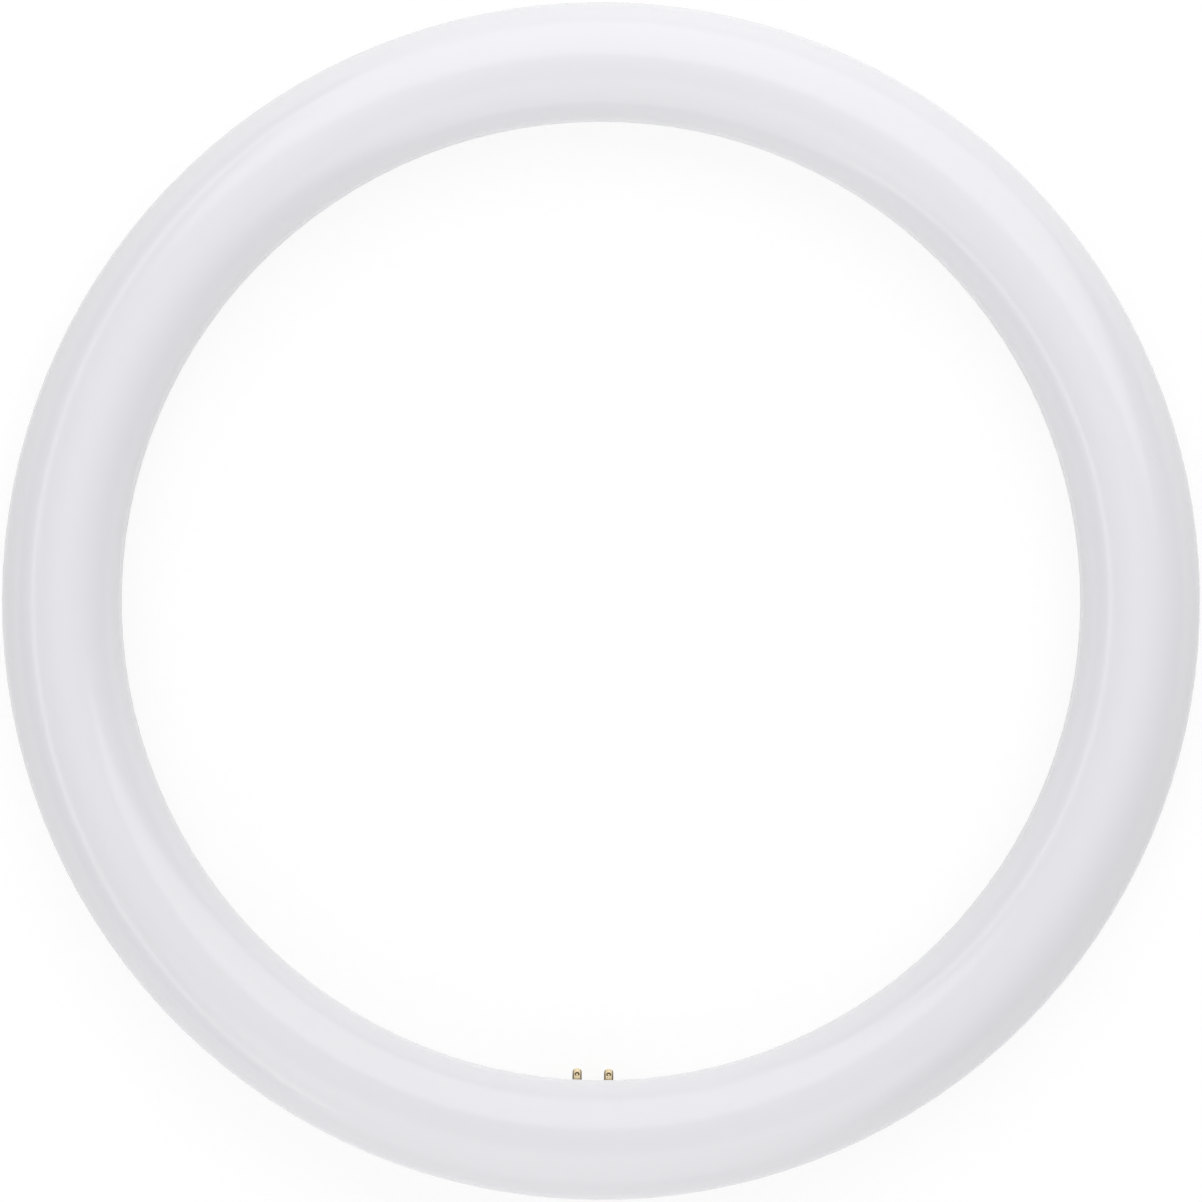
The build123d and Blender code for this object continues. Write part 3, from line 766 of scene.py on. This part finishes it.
# %% [markdown]
# ## The lamp board
#
# The board is aluminium with a white coat on its upper face, so its edge and its underside are
# metal. Each diode is a small white block with a round yellow pool of phosphor on top. There are
# 96 of them in one piece, so the mask counts them: the angle round the ring, divided by one
# diode's share of it, says how far a point is from the nearest diode's middle.

# %% Board and screws
coat_depth = 0.0001
board_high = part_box("led_board")[1].z
board_coat = plastic("board_coat", (0.8, 0.8, 0.78), 0.35, drift=0.04, scale=60)
tree = board_coat.node_tree
bare = below(tree, height_above(tree, board_high), -coat_depth)
show_second(board_coat, bare, **aluminium)
give_finish("led_board", board_coat)
give_finish("board_screws", metal("zinc_plate", (0.62, 0.62, 0.6), 0.3, drift=0.15))

# %% Diodes
diode_count = 96
phosphor_radius = 0.0012
diode_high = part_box("led_packages")[1].z
diodes = plastic("diode_body", (0.82, 0.82, 0.80), 0.4, drift=0.05, scale=200)
tree = diodes.node_tree
spot = tree.nodes.new("ShaderNodeTexCoord").outputs["Object"]
spot_axes = axes_of(tree, spot)
turn = combine(tree, "ARCTAN2", spot_axes["Y"], spot_axes["X"])
share = combine(tree, "FRACT", combine(tree, "MULTIPLY", turn, diode_count / math.tau), 0)
pitch = math.tau * ring_radius / diode_count
along = combine(tree, "MULTIPLY", combine(tree, "SUBTRACT", share, 0.5), pitch)
level_spot = tree.nodes.new("ShaderNodeVectorMath")
level_spot.operation = "MULTIPLY"
level_spot.inputs[1].default_value = (1, 1, 0)
tree.links.new(spot, level_spot.inputs[0])
reach = length_of(tree, level_spot.outputs["Vector"])
to_middle = tree.nodes.new("ShaderNodeCombineXYZ")
tree.links.new(along, to_middle.inputs["X"])
tree.links.new(combine(tree, "SUBTRACT", reach, ring_radius), to_middle.inputs["Y"])
in_pool = below(tree, length_of(tree, to_middle.outputs["Vector"]), phosphor_radius)
on_top = ramp(tree, height_above(tree, diode_high), -2 * coat_depth, -coat_depth)
pool = combine(tree, "MULTIPLY", in_pool, on_top)
show_second(diodes, pool, (0.85, 0.66, 0.16), 0.3)
give_finish("led_packages", diodes)
print("one diode for each", round(360 / diode_count, 2), "degrees, pitch", round(pitch, 5))

# %% Insulating film
give_finish("insulation_film", plastic("film", (0.7, 0.66, 0.55), 0.3, drift=0.1, scale=40))

# %% [markdown]
# ## The driver board and its flat parts
#
# The driver board is green coated on both faces, with a pale woven core at its edge. The moulded
# packages are black with tinned legs that stand out on two sides, and the resistor blocks are
# dark with tinned ends.

# %% Driver board
driver_low, driver_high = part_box("driver_board")
driver_top = driver_high.z
driver_coat = plastic("driver_coat", (0.02, 0.13, 0.05), 0.35, drift=0.1, scale=90)
tree = driver_coat.node_tree
core = between(
    tree,
    height_above(tree, driver_low.z),
    coat_depth,
    driver_high.z - driver_low.z - coat_depth,
)
show_second(driver_coat, core, (0.5, 0.48, 0.26), 0.6)
give_finish("driver_board", driver_coat)

# %% Packages with legs
# Each one's angle from the base, its offset outwards, and its width without the legs
packages = {
    "bridge_rectifier": (24.5, 0.0, 0.0039),
    "control_chip": (29.5, 0.004, 0.003),
    "output_diode": (40.8, 0.003, 0.0043),
}
for node, (angle, outward, width) in packages.items():
    black = plastic(node + "_black", (0.012, 0.012, 0.013), 0.5, drift=0.3, scale=900)
    tree = black.node_tree
    across = ring_place(tree, angle, outward, driver_top)["Y"]
    show_second(black, beyond(tree, across, width / 2 + coat_depth), **tinned)
    give_finish(node, black)

# %% Resistor blocks
resistor_half_length = 0.0016
resistor_half_width = 0.0008
end_length = 0.0004
reach_along = 1.1 * resistor_half_length
reach_across = 1.1 * resistor_half_width
resistor_places = [
    (24.5, 0.0052),
    (24.5, -0.0052),
    (33.0, 0.0046),
    (40.6, -0.0032),
    (43.6, 0.0016),
    (43.6, 0.0046),
    (46.4, 0.002),
]
resistors = plastic("resistor_glaze", (0.02, 0.02, 0.022), 0.3, drift=0.2, scale=900)
tree = resistors.node_tree
ends = 0.0
for angle, outward in resistor_places:
    own = ring_place(tree, angle, outward, driver_top)
    far = beyond(tree, own["X"], resistor_half_length - end_length)
    here = between(tree, own["X"], -reach_along, reach_along)
    here = combine(tree, "MULTIPLY", here, far)
    wide = between(tree, own["Y"], -reach_across, reach_across)
    ends = combine(tree, "MAXIMUM", combine(tree, "MULTIPLY", here, wide), ends)
show_second(resistors, ends, **tinned)
give_finish("chip_resistors", resistors)
print(len(resistor_places), "resistors and", len(packages), "packages")

# %% [markdown]
# ## The driver's tall parts
#
# A varistor is a disc dipped in blue coating, and the coating ends a little above the board,
# where the tinned legs come out. A fuse resistor has a pale green body with coloured rings, and
# the rings run round its axis. The two capacitor cans wear a dark sleeve with one light stripe
# along it, and their ends are bare aluminium.

# %% Varistor
coating_lift = 0.0004
varistor = plastic("blue_coating", (0.02, 0.1, 0.4), 0.3, drift=0.1, scale=300, waviness=0.3)
tree = varistor.node_tree
legs = below(tree, height_above(tree, driver_top), coating_lift)
show_second(varistor, legs, **tinned)
give_finish("varistor", varistor)

# %% Fuse resistor
fuse_angle, fuse_outward = 14.8, 0.0042
fuse_half_length = 0.004
ring_width = 0.0007
# Where each coloured ring starts along the body, and its colour
ring_colours = {-0.0024: (0.25, 0.05, 0.02), -0.0009: (0.01, 0.01, 0.01), 0.0006: (0.5, 0.36, 0.1)}
fuse = plastic("green_coating", (0.1, 0.3, 0.16), 0.4, drift=0.1, scale=300)
tree = fuse.node_tree
along = ring_place(tree, fuse_angle, fuse_outward, driver_top)["X"]
shown = tree.nodes["skin"].outputs["Colour"]
for start, colour in ring_colours.items():
    shown = paint(tree, shown, between(tree, along, start, start + ring_width), colour)
wire_mask = beyond(tree, along, fuse_half_length + coat_depth)
show_second(fuse, wire_mask, **tinned, under=shown)
give_finish("fuse_resistor", fuse)

# %% Capacitors
give_finish(
    "film_capacitor",
    plastic("capacitor_block", (0.6, 0.5, 0.06), 0.3, drift=0.06, scale=200),
)
can_radius = 0.00315
can_outward = -0.0034
stripe_half = 0.0009
# Each one's angle from the base, and its length
cans = {"input_capacitor": (29.5, 0.0105), "output_capacitor": (45.0, 0.009)}
for node, (angle, can_length) in cans.items():
    sleeve = plastic(node + "_sleeve", (0.02, 0.025, 0.05), 0.3, drift=0.1, scale=200)
    tree = sleeve.node_tree
    own = ring_place(tree, angle, can_outward, driver_top)
    upper = ramp(tree, own["Z"], can_radius, can_radius + coat_depth)
    stripe = between(tree, own["Y"], -stripe_half, stripe_half)
    stripe = combine(tree, "MULTIPLY", stripe, upper)
    striped = paint(tree, tree.nodes["skin"].outputs["Colour"], stripe, (0.55, 0.57, 0.6))
    bare_end = beyond(tree, own["X"], can_length / 2 - 2 * coat_depth)
    show_second(sleeve, bare_end, **aluminium, under=striped)
    give_finish(node, sleeve)

# %% [markdown]
# ## Coils and leads
#
# The inductor is copper wire on a drum of grey ferrite. The transformer is a black bobbin in a
# ferrite core, and its winding is wrapped in yellow tape. Copper wire shows its turns: a wave
# texture along the drum's axis gives them as a bump.

# %% Coils
ferrite = plastic("ferrite", (0.035, 0.035, 0.037), 0.6, drift=0.3, scale=600, waviness=0.3)
give_finish("inductor_core", ferrite)
give_finish("transformer_core", ferrite)
bobbin = plastic("bobbin_black", (0.015, 0.015, 0.015), 0.5, drift=0.2, scale=300)
give_finish("transformer_bobbin", bobbin)
tape = plastic("yellow_tape", (0.75, 0.55, 0.06), 0.3, drift=0.08, scale=300)
give_finish("transformer_winding", tape)

turn_scale = 1000
groove_depth = 0.0001
copper = metal("enamelled_copper", (0.6, 0.22, 0.08), 0.3)
tree = copper.node_tree
turns = tree.nodes.new("ShaderNodeTexWave")
turns.wave_type = "BANDS"
turns.bands_direction = "Z"
turns.inputs["Scale"].default_value = turn_scale
coordinates = tree.nodes.new("ShaderNodeTexCoord")
tree.links.new(coordinates.outputs["Object"], turns.inputs["Vector"])
grooves = tree.nodes.new("ShaderNodeBump")
grooves.inputs["Strength"].default_value = 0.6
grooves.inputs["Distance"].default_value = groove_depth
tree.links.new(turns.outputs["Fac"], grooves.inputs["Height"])
tree.links.new(grooves.outputs["Normal"], tree.nodes["Principled BSDF"].inputs["Normal"])
give_finish("inductor_winding", copper)

# %% Leads
white_lead = plastic("white_insulation", (0.75, 0.75, 0.74), 0.45, drift=0.05, scale=200)
give_finish("pin_leads", white_lead)
red_lead = plastic("red_insulation", (0.5, 0.02, 0.015), 0.45, drift=0.08, scale=200)
give_finish("lamp_leads", red_lead)
bare_nodes = set(frame["nodes"]) - set(finished) - {"front_diffuser"}
print(len(finished), "CAD pieces finished, left bare:", sorted(bare_nodes))

# %% [markdown]
# ## The view transform and the end
#
# The picture uses the Standard view transform.

# %% View transform and the end
bpy.context.scene.view_settings.view_transform = "Standard"
